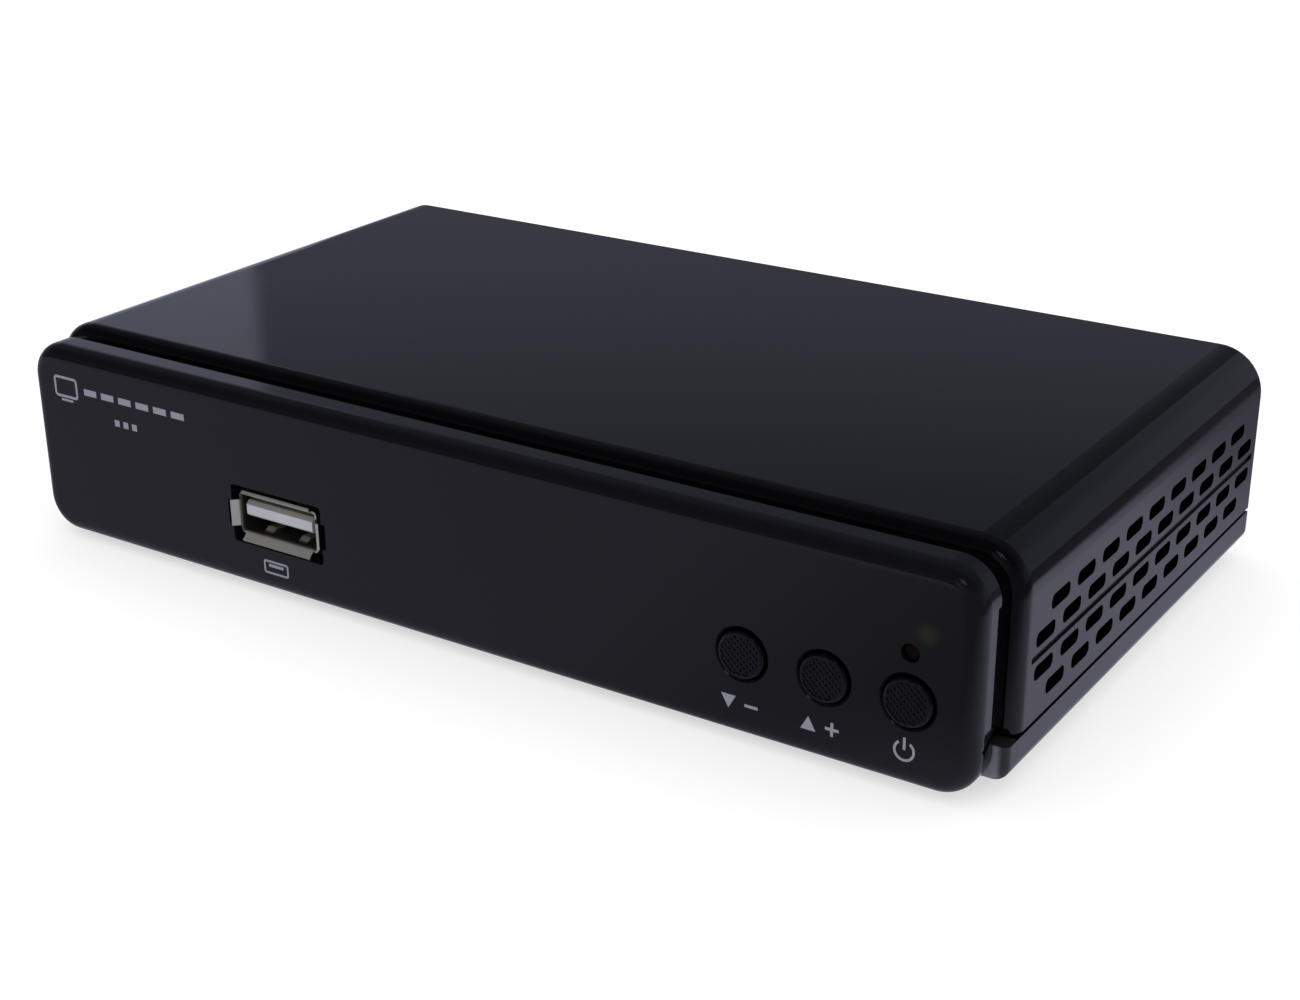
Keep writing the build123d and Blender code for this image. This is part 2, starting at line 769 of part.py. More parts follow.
with BuildPart() as heat_sink:
    sink_low_z = main_top_z + chip_height
    block(
        (chip_centre[0] - sink_half, chip_centre[1] - sink_half, sink_low_z),
        (chip_centre[0] + sink_half, chip_centre[1] + sink_half, sink_low_z + sink_base),
    )
    for i in range(sink_fins):
        fin_x = chip_centre[0] - sink_half + i * (2 * sink_half - sink_fin) / (sink_fins - 1)
        block(
            (fin_x, chip_centre[1] - sink_half, sink_low_z + sink_base),
            (fin_x + sink_fin, chip_centre[1] + sink_half, sink_low_z + sink_height),
        )
finish(heat_sink.part, "heat_sink")

with BuildPart() as memory_chips:
    block((*memory_low, main_top_z), (*memory_high, main_top_z + chip_low_height))
    block((*flash_low, main_top_z), (*flash_high, main_top_z + chip_height))
finish(memory_chips.part, "memory_chips")

with BuildPart() as crystal_can:
    with BuildSketch(Plane.XY.offset(main_top_z)):
        with Locations(crystal_at):
            SlotOverall(11.0, 4.6)
    extrude(amount=3.6)
    fillet(faces().sort_by(Axis.Z)[-1].edges(), 0.5)
finish(crystal_can.part, "crystal_can")

with BuildPart() as capacitors:
    for x, y, radius, height in capacitor_places:
        with Locations((x, y, main_top_z)):
            Cylinder(radius, height, align=(Align.CENTER, Align.CENTER, Align.MIN))
    fillet(edges().filter_by(GeomType.CIRCLE).filter_by(lambda e: e.center().Z > main_top_z + 1), 0.4)
finish(capacitors.part, "capacitors")

with BuildPart() as power_inductors:
    for y in inductor_y:
        block(
            (inductor_x - inductor_half, y - inductor_half, main_top_z),
            (inductor_x + inductor_half, y + inductor_half, main_top_z + inductor_height),
        )
    fillet(edges().filter_by(Axis.Z), 1.0)
finish(power_inductors.part, "power_inductors")

with BuildPart() as regulator_chips:
    for x, y in regulator_at:
        block(
            (x - regulator_half[0], y - regulator_half[1], main_top_z),
            (x + regulator_half[0], y + regulator_half[1], main_top_z + chip_height),
        )
    chamfer(edges().filter_by(Axis.Z), 0.3)
finish(regulator_chips.part, "regulator_chips")

with BuildPart() as tuner_can:
    block((can_x[0], can_y[0], main_top_z), (can_x[1], can_y[1], can_top_z))
    block(
        (can_x[0] + can_wall, can_y[0] + can_wall, main_top_z - 1),
        (can_x[1] - can_wall, can_y[1] - can_wall, can_top_z + 1),
        Mode.SUBTRACT,
    )
    # One dividing wall
    middle_x = (can_x[0] + can_x[1]) / 2
    block(
        (middle_x - can_wall / 2, can_y[0] + can_wall, main_top_z),
        (middle_x + can_wall / 2, can_y[1] - can_wall, can_top_z - 1.0),
    )
finish(tuner_can.part, "tuner_can")

with BuildPart() as tuner_lid:
    lid_gap = 0.05
    skirt = lid_gap + 0.3
    block(
        (can_x[0] - skirt, can_y[0] - skirt, can_top_z - 3.0),
        (can_x[1] + skirt, can_y[1], can_top_z + skirt),
    )
    block(
        (can_x[0] - lid_gap, can_y[0] - lid_gap, can_top_z - 4.0),
        (can_x[1] + lid_gap, can_y[1] + 1, can_top_z + lid_gap),
        Mode.SUBTRACT,
    )
    with BuildSketch(Plane.XY.offset(can_top_z)):
        with Locations(((can_x[0] + can_x[1]) / 2, (can_y[0] + can_y[1]) / 2)):
            with GridLocations(6.0, 6.0, 5, 3):
                Circle(1.2)
    extrude(amount=1, mode=Mode.SUBTRACT)
finish(tuner_lid.part, "tuner_lid")

with BuildPart() as tuner_chip:
    block((*tuner_chip_low, main_top_z), (*tuner_chip_high, main_top_z + chip_low_height))
finish(tuner_chip.part, "tuner_chip")

# ---------------------------------------------------------------- antenna connectors

connector_flange_y = (main_rear_y - 0.1, rear_panel_y)
nut_front_y = rear_panel_back_y + 0.5
nut_thickness = 2.0
nut_apothem = 5.55
thread_y = nut_front_y + nut_thickness + 0.1
insulator_r = antenna_bore_r - 0.03
wire_hole_r = 0.7
clip_r = 1.2
connector_half = 6.0
washer_r = 6.3

for name, x in antenna_x.items():
    with BuildPart() as connector:
        block(
            (x - connector_half, connector_flange_y[0], antenna_z - connector_half),
            (x + connector_half, connector_flange_y[1], antenna_z + connector_half),
        )
        rod(x, antenna_z, antenna_root_r, connector_flange_y[1] - 0.2, thread_y)
        rod(x, antenna_z, antenna_r, thread_y, rear_end_y)
        chamfer(faces().sort_by(Axis.Y)[-1].edges(), 0.4)
        rod(x, antenna_z, antenna_bore_r, connector_flange_y[0] + 0.5, rear_end_y + 1, Mode.SUBTRACT)
    finish(connector.part, name + "_connector")

with BuildPart() as antenna_insulators:
    for x in antenna_x.values():
        rod(x, antenna_z, insulator_r, connector_flange_y[0] + 0.5, rear_end_y - 0.5)
    for x in antenna_x.values():
        rod(x, antenna_z, wire_hole_r, rear_end_y - 4, rear_end_y, Mode.SUBTRACT)
        rod(x, antenna_z, clip_r + 0.05, connector_flange_y[0], rear_end_y - 2.5, Mode.SUBTRACT)
finish(antenna_insulators.part, "antenna_insulators")

with BuildPart() as antenna_clips:
    for x in antenna_x.values():
        rod(x, antenna_z, clip_r, connector_flange_y[0] + 0.5, rear_end_y - 2.6)
        rod(x, antenna_z, wire_hole_r - 0.1, connector_flange_y[0] + 2, rear_end_y, Mode.SUBTRACT)
finish(antenna_clips.part, "antenna_clips")

with BuildPart() as antenna_washers:
    for x in antenna_x.values():
        rod(x, antenna_z, washer_r, rear_panel_back_y, nut_front_y)
        rod(x, antenna_z, antenna_root_r + 0.04, rear_panel_back_y - 1, nut_front_y + 1, Mode.SUBTRACT)
finish(antenna_washers.part, "antenna_washers")

with BuildPart() as antenna_nuts:
    for x in antenna_x.values():
        with BuildSketch(across(nut_front_y)) as hexagon:
            with Locations((x, antenna_z)):
                RegularPolygon(nut_apothem, 6, major_radius=False)
                Circle(antenna_root_r + 0.04, mode=Mode.SUBTRACT)
        extrude(hexagon.sketch, amount=-nut_thickness)
finish(antenna_nuts.part, "antenna_nuts")

# ---------------------------------------------------------------- video, audio and power connectors

hdmi_wall = 0.35
hdmi_y = (rear_panel_back_y - 11.4, rear_panel_back_y + 0.5)
hdmi_z = main_top_z + hdmi_wall + hdmi_height / 2
hdmi_tongue_y = (rear_panel_back_y - 8.9, rear_panel_back_y - 1.1)
hdmi_tongue_half = 5.45
hdmi_block_half = 5.7
hdmi_tongue_height = 1.0
hdmi_contact_half = 0.2
hdmi_contact_height = 0.12


def draw_hdmi(width, height):
    """Draw the connector's section in the active sketch: a rectangle with two lower bevels."""
    with Locations((hdmi_x, hdmi_z)):
        Rectangle(width, height)
    chamfer(vertices().group_by(Axis.Y)[0], 1.2)


with BuildPart() as hdmi_shell:
    with BuildSketch(across(hdmi_y[0])) as outer:
        draw_hdmi(hdmi_width + 2 * hdmi_wall, hdmi_height + 2 * hdmi_wall)
    extrude(outer.sketch, amount=hdmi_y[0] - hdmi_y[1])
    with BuildSketch(across(hdmi_y[0])) as inner:
        draw_hdmi(hdmi_width, hdmi_height)
    extrude(inner.sketch, amount=hdmi_y[0] - hdmi_y[1], mode=Mode.SUBTRACT)
finish(hdmi_shell.part, "hdmi_shell")

with BuildPart() as hdmi_tongue:
    block(
        (hdmi_x - hdmi_block_half, hdmi_y[0] + 0.2, hdmi_z - hdmi_height / 2 + 0.05),
        (hdmi_x + hdmi_block_half, hdmi_tongue_y[0], hdmi_z + hdmi_height / 2 - 0.05),
    )
    block(
        (hdmi_x - hdmi_tongue_half, hdmi_tongue_y[0], hdmi_z),
        (hdmi_x + hdmi_tongue_half, hdmi_tongue_y[1], hdmi_z + hdmi_tongue_height),
    )
finish(hdmi_tongue.part, "hdmi_tongue")

with BuildPart() as hdmi_contacts:
    # Ten on the tongue's upper face and nine below, at a pitch of 1 mm
    for count, low_z in ((10, hdmi_z + hdmi_tongue_height), (9, hdmi_z - hdmi_contact_height)):
        for i in range(count):
            x = hdmi_x + i - (count - 1) / 2
            block(
                (x - hdmi_contact_half, hdmi_tongue_y[0], low_z),
                (x + hdmi_contact_half, hdmi_tongue_y[1] - 0.5, low_z + hdmi_contact_height),
            )
finish(hdmi_contacts.part, "hdmi_contacts")

jack_end_y = rear_panel_back_y + 8.8
jack_collar_y = rear_panel_back_y + 0.1
jack_block_y = (rear_panel_y - 12.4, rear_panel_y - 0.1)
jack_block_margin = 6.3

with BuildPart() as av_jack_housing:
    block(
        (min(jack_x.values()) - jack_block_margin, jack_block_y[0], main_top_z),
        (max(jack_x.values()) + jack_block_margin, jack_block_y[1], jack_z + 5.6),
    )
    chamfer(faces().sort_by(Axis.Z)[-1].edges(), 0.5)
finish(av_jack_housing.part, "av_jack_housing")

with BuildPart() as av_jack_sleeves:
    for x in jack_x.values():
        rod(x, jack_z, jack_collar_r, jack_block_y[1], jack_collar_y)
        rod(x, jack_z, jack_r, jack_collar_y, jack_end_y)
    chamfer(edges().filter_by(GeomType.CIRCLE).group_by(Axis.Y)[-1], 0.3)
    for x in jack_x.values():
        rod(x, jack_z, jack_inner_r, jack_block_y[1], jack_end_y + 1, Mode.SUBTRACT)
finish(av_jack_sleeves.part, "av_jack_sleeves")

for name, x in jack_x.items():
    with BuildPart() as insulator:
        rod(x, jack_z, jack_inner_r - 0.03, jack_block_y[1], jack_end_y - 0.4)
        rod(x, jack_z, jack_hole_r, jack_block_y[1] + 0.5, jack_end_y, Mode.SUBTRACT)
    finish(insulator.part, name + "_insulator")

with BuildPart() as av_jack_contacts:
    for x in jack_x.values():
        rod(x, jack_z, jack_hole_r - 0.03, jack_block_y[1] + 0.5, jack_end_y - 1.6)
    for x in jack_x.values():
        rod(x, jack_z, jack_hole_r - 0.25, jack_block_y[1] + 1.5, jack_end_y, Mode.SUBTRACT)
finish(av_jack_contacts.part, "av_jack_contacts")

power_block_half = 4.5
power_block_y = (rear_panel_y - 12.0, rear_panel_y - 0.1)
power_bore_y = rear_panel_y - 9.0
power_end_y = rear_panel_back_y + 0.7

with BuildPart() as power_jack_housing:
    block(
        (power_x - power_block_half, power_block_y[0], main_top_z),
        (power_x + power_block_half, power_block_y[1], power_z + 4.8),
    )
    chamfer(faces().sort_by(Axis.Z)[-1].edges().filter_by(Axis.Y), 1.0)
    rod(power_x, power_z, power_nose_r, power_block_y[1] - 0.5, power_end_y)
    rod(power_x, power_z, power_bore_r, power_bore_y, power_end_y + 1, Mode.SUBTRACT)
finish(power_jack_housing.part, "power_jack_housing")

with BuildPart() as power_jack_pin:
    rod(power_x, power_z, power_pin_r, power_bore_y, power_end_y - 0.8)
    fillet(faces().sort_by(Axis.Y)[-1].edges(), 0.4)
finish(power_jack_pin.part, "power_jack_pin")

with BuildPart() as power_jack_contact:
    block(
        (power_x - 1.2, power_bore_y, power_z - 2.9),
        (power_x + 1.2, power_bore_y + 7.0, power_z - 2.65),
    )
finish(power_jack_contact.part, "power_jack_contact")

# ---------------------------------------------------------------- fasteners, feet and label

thread_gap = 0.03
case_screw_tip_z = 17.0
case_head_r = 2.7
case_head_height = 2.0
board_head_r = 2.2
board_head_height = 1.5
cross_depth = 0.9
cross_width = 0.7


def cross_recess(x, y, z, length, upwards):
    """Cut a cross recess into a screw head, from its face at height z."""
    low_z, high_z = sorted((z, z - cross_depth if upwards else z + cross_depth))
    for size_x, size_y in ((length, cross_width), (cross_width, length)):
        block(
            (x - size_x / 2, y - size_y / 2, low_z),
            (x + size_x / 2, y + size_y / 2, high_z),
            Mode.SUBTRACT,
        )


with BuildPart() as case_screws:
    head_low_z = counterbore_top_z - case_head_height
    for x, y in case_posts:
        post(x, y, case_head_r, head_low_z, counterbore_top_z)
        post(x, y, boss_pilot_r - thread_gap, counterbore_top_z, case_screw_tip_z)
    for x, y in case_posts:
        cross_recess(x, y, head_low_z, 3.0, upwards=False)
finish(case_screws.part, "case_screws")

with BuildPart() as board_screws:
    head_high_z = main_top_z + board_head_height
    for x, y in standoffs:
        post(x, y, board_head_r, main_top_z, head_high_z)
        post(x, y, standoff_pilot_r - thread_gap, standoff_pilot_z + 0.3, main_top_z)
    for x, y in standoffs:
        cross_recess(x, y, head_high_z, 2.6, upwards=True)
finish(board_screws.part, "board_screws")

with BuildPart() as feet:
    for x, y in feet_at:
        post(x, y, foot_r, 0.0, case_bottom_z + foot_recess)
    fillet(edges().group_by(Axis.Z)[0], 0.4)
finish(feet.part, "feet")

with BuildPart() as underside_label:
    with BuildSketch(Plane.XY.offset(case_bottom_z + label_recess)):
        with Locations((0, label_y)):
            RectangleRounded(*label_size, 1.0)
    extrude(amount=-0.15)
finish(underside_label.part, "underside_label")
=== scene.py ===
import json
import math

import bmesh
import bpy
from mathutils import Matrix, Vector


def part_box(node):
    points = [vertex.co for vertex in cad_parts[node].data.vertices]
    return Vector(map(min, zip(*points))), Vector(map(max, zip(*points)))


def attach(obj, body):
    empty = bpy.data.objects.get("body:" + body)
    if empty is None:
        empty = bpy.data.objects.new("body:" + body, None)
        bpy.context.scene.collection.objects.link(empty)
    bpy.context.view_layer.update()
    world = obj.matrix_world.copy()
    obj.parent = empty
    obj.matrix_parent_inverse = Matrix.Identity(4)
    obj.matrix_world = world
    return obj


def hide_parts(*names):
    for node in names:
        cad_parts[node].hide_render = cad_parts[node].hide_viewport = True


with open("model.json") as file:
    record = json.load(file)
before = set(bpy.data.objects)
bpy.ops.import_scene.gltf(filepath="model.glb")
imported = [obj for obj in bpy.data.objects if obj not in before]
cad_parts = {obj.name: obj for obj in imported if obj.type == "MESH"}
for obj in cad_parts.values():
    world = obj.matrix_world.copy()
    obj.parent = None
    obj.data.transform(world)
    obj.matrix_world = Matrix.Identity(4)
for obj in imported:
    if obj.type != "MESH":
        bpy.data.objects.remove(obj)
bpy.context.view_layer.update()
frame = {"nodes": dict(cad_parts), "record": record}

MM = 0.001
scene = bpy.context.scene
record = frame["record"]
slot_of = {part["node"]: part["material_slot"] for part in record["subparts"]}

panel_low, panel_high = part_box("front_panel")
face_y = panel_low.y
rear_face_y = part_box("rear_panel")[1].y


def middle(node):
    """The centre of a CAD node's box."""
    low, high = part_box(node)
    return (low + high) / 2


# ---------------------------------------------------------------- camera

# Where the lens is, from the front panel's lower edge, and how it is turned
CAMERA_X = 148.19 * MM
CAMERA_IN_FRONT = 179.47 * MM
CAMERA_ABOVE = 116.91 * MM
CAMERA_YAW = 0.5895
CAMERA_PITCH = 0.4095
CAMERA_ROLL = 0.0093
SENSOR_WIDTH = 36.0
LENS = 58.528
SHIFT = (0.00972, 0.01755)


def make_camera():
    """A camera in front, to the right and above, that looks down at the front panel's corner."""
    data = bpy.data.cameras.new("camera")
    data.sensor_width = SENSOR_WIDTH
    data.lens = LENS
    data.shift_x, data.shift_y = SHIFT
    data.clip_start = 0.01
    data.clip_end = 100.0
    cos_yaw, sin_yaw = math.cos(CAMERA_YAW), math.sin(CAMERA_YAW)
    cos_pitch, sin_pitch = math.cos(CAMERA_PITCH), math.sin(CAMERA_PITCH)
    ahead = Vector((-sin_yaw * cos_pitch, cos_yaw * cos_pitch, -sin_pitch))
    level = Vector((cos_yaw, sin_yaw, 0.0))
    down = ahead.cross(level)
    right = math.cos(CAMERA_ROLL) * level + math.sin(CAMERA_ROLL) * down
    up = math.sin(CAMERA_ROLL) * level - math.cos(CAMERA_ROLL) * down
    camera = bpy.data.objects.new("camera", data)
    turn = Matrix((right, up, -ahead)).transposed().to_4x4()
    place = Vector((CAMERA_X, face_y - CAMERA_IN_FRONT, panel_low.z + CAMERA_ABOVE))
    camera.matrix_world = Matrix.Translation(place) @ turn
    scene.collection.objects.link(camera)
    scene.camera = camera
    return place


camera_place = make_camera()
scene.view_settings.view_transform = "Standard"


# ---------------------------------------------------------------- node helpers

def new_tree(material):
    """An empty node tree for a material."""
    material.use_nodes = True
    material.node_tree.nodes.clear()
    return material.node_tree


def node(tree, kind, settings=None, **inputs):
    """Add a node; an input is a number, a colour or another node's output socket."""
    made = tree.nodes.new(kind)
    for key, value in (settings or {}).items():
        setattr(made, key, value)
    for key, value in inputs.items():
        socket = made.inputs[key.replace("_", " ")]
        if isinstance(value, bpy.types.NodeSocket):
            tree.links.new(value, socket)
        else:
            socket.default_value = value
    return made


def maths(tree, operation, *values):
    """A Math node's result."""
    made = tree.nodes.new("ShaderNodeMath")
    made.operation = operation
    for socket, value in zip(made.inputs, values):
        if isinstance(value, bpy.types.NodeSocket):
            tree.links.new(value, socket)
        else:
            socket.default_value = value
    return made.outputs[0]


def product(tree, *factors):
    """The factors multiplied together."""
    made = factors[0]
    for factor in factors[1:]:
        made = maths(tree, "MULTIPLY", made, factor)
    return made


def total(tree, *terms):
    """The terms added up."""
    made = terms[0]
    for term in terms[1:]:
        made = maths(tree, "ADD", made, term)
    return made


def ranged(tree, value, low, high, to_low=0.0, to_high=1.0, smooth=True):
    """Map a value from one range to another, with an ease at both ends."""
    return node(
        tree,
        "ShaderNodeMapRange",
        {"interpolation_type": "SMOOTHSTEP" if smooth else "LINEAR"},
        Value=value,
        From_Min=low,
        From_Max=high,
        To_Min=to_low,
        To_Max=to_high,
    ).outputs[0]


def vector_maths(tree, operation, first, second, result=0):
    """A Vector Math node's result, from a vector socket and a socket or a fixed vector."""
    made = tree.nodes.new("ShaderNodeVectorMath")
    made.operation = operation
    tree.links.new(first, made.inputs[0])
    if isinstance(second, bpy.types.NodeSocket):
        tree.links.new(second, made.inputs[1])
    else:
        made.inputs[1].default_value = second
    return made.outputs[result]


def dot(tree, vector, direction):
    """The dot product of a vector socket and a fixed direction."""
    return vector_maths(tree, "DOT_PRODUCT", vector, direction, "Value")


def mixed(tree, factor, first, second):
    """A colour between two colours."""
    made = tree.nodes.new("ShaderNodeMix")
    made.data_type = "RGBA"
    for socket, value in zip((made.inputs[0], made.inputs[6], made.inputs[7]), (factor, first, second)):
        if isinstance(value, bpy.types.NodeSocket):
            tree.links.new(value, socket)
        elif isinstance(value, float):
            socket.default_value = value
        else:
            socket.default_value = (*value, 1.0)
    return made.outputs[2]


def place_in(tree):
    """A surface point's place in its own object, in metres."""
    return tree.nodes.new("ShaderNodeTexCoord").outputs["Object"]


def outward_normal(tree):
    """The surface's direction in its own object."""
    return tree.nodes.new("ShaderNodeTexCoord").outputs["Normal"]


def noise(tree, scale, detail=2.0, vector=None):
    """Noise, with scale in cells per metre."""
    return node(
        tree,
        "ShaderNodeTexNoise",
        Vector=vector or place_in(tree),
        Scale=scale,
        Detail=detail,
        Roughness=0.55,
    ).outputs["Fac"]


def stretched(tree, factors):
    """The place in the object, stretched by a factor along each axis."""
    return vector_maths(tree, "MULTIPLY", place_in(tree), factors)


def mixed_by_ray(tree, seen, reflected, output_kind):
    """Show one shader to the camera and to diffuse light, and another to reflections."""
    path = tree.nodes.new("ShaderNodeLightPath")
    both = tree.nodes.new("ShaderNodeMixShader")
    tree.links.new(path.outputs["Is Glossy Ray"], both.inputs[0])
    tree.links.new(seen.outputs[0], both.inputs[1])
    tree.links.new(reflected.outputs[0], both.inputs[2])
    output = tree.nodes.new(output_kind)
    tree.links.new(both.outputs[0], output.inputs[0])


def bumped(tree, height, strength, distance):
    """A normal from a height."""
    return node(tree, "ShaderNodeBump", Height=height, Strength=strength, Distance=distance).outputs[0]


def shader(tree, **inputs):
    """The Principled shader and its output."""
    made = node(tree, "ShaderNodeBsdfPrincipled", **inputs)
    output = tree.nodes.new("ShaderNodeOutputMaterial")
    tree.links.new(made.outputs[0], output.inputs[0])
    return made


# ---------------------------------------------------------------- studio

# What the camera and diffuse light see: white all round, and a pale floor that glows a little itself
WHITE = (1.0, 1.0, 1.0, 1.0)
WHITE_LEVEL = 1.15
PAPER = (0.96, 0.96, 0.965, 1.0)
FLOOR_HALF = 12.0
FLOOR_LIFT = 0.5
# What reflections see of the floor: dim, brighter to the left and behind, with a lit patch on the right.
# An edge is the place where the glow starts and the place where it is full.
FLOOR_TINT = (0.90, 0.91, 1.15, 1.0)
FLOOR_LEVEL = 0.09
LEFT_GLOW, LEFT_EDGE = 0.20, (0.070, 0.0)
REAR_GLOW, REAR_EDGE, REAR_SIDE_EDGE = 0.55, (0.045, 0.085), (0.070, 0.040)
PATCH_GLOW, PATCH_CENTRE, PATCH_EDGE = 0.43, (0.092, 0.004, 0.0), (0.084, 0.030)
# What reflections see of the room: dim, and dimmer above and in front, with an upright board on each side.
# A height is the upward part of a direction, and a board's angle is measured from straight behind.
ROOM_TINT = (0.86, 0.90, 1.16, 1.0)
ROOM_HEIGHTS, ROOM_LEVELS = (0.28, 0.46), (0.185, 0.085)
ROOM_DEPTHS, ROOM_IN_FRONT = (-0.35, 0.25), 0.28
BOARD_TOP = (0.62, 0.42)
LEFT_BOARD, LEFT_BOARD_START, LEFT_BOARD_END = 0.225, math.radians(44.3), math.radians(70.0)
RIGHT_BOARD, RIGHT_BOARD_START, RIGHT_BOARD_FADED = 0.13, math.radians(-4.0), 0.25
# A warm lamp above the camera, which makes the small glints
LAMP_FROM_CAMERA = Vector((0.10, -0.25, 0.32))
LAMP_SIZE = 0.16
LAMP_POWER = 0.045
LAMP_COLOUR = (1.0, 0.94, 0.84)


def make_floor():
    """A plain pale floor, which reflections see as dim, with brighter places."""
    mesh = bpy.data.meshes.new("floor")
    corners = [(-FLOOR_HALF, -FLOOR_HALF, 0), (FLOOR_HALF, -FLOOR_HALF, 0),
               (FLOOR_HALF, FLOOR_HALF, 0), (-FLOOR_HALF, FLOOR_HALF, 0)]
    mesh.from_pydata(corners, [], [(0, 1, 2, 3)])
    floor = bpy.data.objects.new("floor", mesh)
    scene.collection.objects.link(floor)
    material = bpy.data.materials.new("floor_paper")
    tree = new_tree(material)
    paper = node(tree, "ShaderNodeBsdfDiffuse", Color=PAPER)
    lift = node(tree, "ShaderNodeEmission", Color=WHITE, Strength=WHITE_LEVEL)
    pale = tree.nodes.new("ShaderNodeMixShader")
    pale.inputs[0].default_value = FLOOR_LIFT
    tree.links.new(paper.outputs[0], pale.inputs[1])
    tree.links.new(lift.outputs[0], pale.inputs[2])
    where = place_in(tree)
    across, along = dot(tree, where, (1.0, 0.0, 0.0)), dot(tree, where, (0.0, 1.0, 0.0))
    left = ranged(tree, across, *LEFT_EDGE, 0.0, LEFT_GLOW)
    patch = vector_maths(tree, "DISTANCE", where, PATCH_CENTRE, "Value")
    patch = ranged(tree, patch, *PATCH_EDGE, 0.0, PATCH_GLOW)
    rear = ranged(tree, along, *REAR_EDGE, 0.0, REAR_GLOW)
    rear = product(tree, rear, ranged(tree, across, *REAR_SIDE_EDGE))
    level = total(tree, left, patch, rear, FLOOR_LEVEL)
    glow = node(tree, "ShaderNodeEmission", Color=FLOOR_TINT, Strength=level)
    mixed_by_ray(tree, pale, glow, "ShaderNodeOutputMaterial")
    mesh.materials.append(material)


def make_world():
    """Even white light all round, and for reflections a dim room with a pale board on each side."""
    world = bpy.data.worlds.new("studio")
    scene.world = world
    world.use_nodes = True
    tree = world.node_tree
    tree.nodes.clear()
    toward = tree.nodes.new("ShaderNodeTexCoord").outputs["Generated"]
    height = dot(tree, toward, (0.0, 0.0, 1.0))
    behind = dot(tree, toward, (0.0, 1.0, 0.0))

    def past(angle):
        """How far a direction is to the left of an upright line at an angle from straight behind."""
        return dot(tree, toward, (-math.cos(angle), -math.sin(angle), 0.0))

    under_top = ranged(tree, height, *BOARD_TOP)
    left = product(
        tree,
        ranged(tree, past(LEFT_BOARD_START), -0.004, 0.006),
        ranged(tree, past(LEFT_BOARD_END), 0.0, -0.08),
        under_top,
        LEFT_BOARD,
    )
    right = product(
        tree,
        ranged(tree, past(RIGHT_BOARD_START), 0.004, -0.006),
        ranged(tree, past(RIGHT_BOARD_START), -0.45, 0.0, RIGHT_BOARD_FADED, 1.0, smooth=False),
        under_top,
        RIGHT_BOARD,
    )
    room = product(
        tree,
        ranged(tree, height, *ROOM_HEIGHTS, *ROOM_LEVELS),
        ranged(tree, behind, *ROOM_DEPTHS, ROOM_IN_FRONT, 1.0),
    )
    dim = node(tree, "ShaderNodeBackground", Color=ROOM_TINT, Strength=total(tree, room, left, right))
    white = node(tree, "ShaderNodeBackground", Color=WHITE, Strength=WHITE_LEVEL)
    mixed_by_ray(tree, white, dim, "ShaderNodeOutputWorld")


def make_lamp():
    """A square lamp that faces the front panel."""
    data = bpy.data.lights.new("front_lamp", "AREA")
    data.size = LAMP_SIZE
    data.energy = LAMP_POWER
    data.color = LAMP_COLOUR
    lamp = bpy.data.objects.new("front_lamp", data)
    lamp.location = camera_place + LAMP_FROM_CAMERA
    lamp.rotation_mode = "QUATERNION"
    target = (panel_low + panel_high) / 2
    lamp.rotation_quaternion = (target - lamp.location).to_track_quat("-Z", "Y")
    scene.collection.objects.link(lamp)


make_floor()
make_world()
make_lamp()


# ---------------------------------------------------------------- materials

# The casing's side walls turn satin here, behind its rolled front edge
SATIN_START = panel_high.y + 2.9 * MM
# The USB port's opening, whose middle is a little above the lower side of the contact strips
PORT_HALF_X = 6.25 * MM
PORT_HALF_Z = 2.56 * MM
PORT_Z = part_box("usb_contacts")[0].z + 0.64 * MM


def fine_texture(tree, grain_size, depth, strength):
    """A moulded grain: a normal from fine noise, with its size and depth in metres."""
    return bumped(tree, noise(tree, 1.0 / grain_size, 3.0), strength, depth)


def varied(tree, colour, amount, patch_size):
    """A colour that drifts a little from patch to patch."""
    darker = tuple(c * (1.0 - amount) for c in colour)
    lighter = tuple(min(1.0, c * (1.0 + amount)) for c in colour)
    return mixed(tree, noise(tree, 1.0 / patch_size, 2.0), darker, lighter)


def moulded_plastic(name, colour, roughness, grain_size=0.25 * MM, grain=0.1, ior=1.46, amount=0.12):
    """Matte or satin moulded plastic with a fine grain and a slight change of colour and polish."""
    material = bpy.data.materials.new(name)
    tree = new_tree(material)
    patches = noise(tree, 1.0 / (6 * MM), 3.0)
    shader(
        tree,
        Base_Color=varied(tree, colour, amount, 4 * MM),
        Roughness=ranged(tree, patches, 0.3, 0.7, roughness - 0.05, roughness + 0.05),
        Normal=fine_texture(tree, grain_size, 0.03 * MM, grain),
        IOR=ior,
    )
    return material


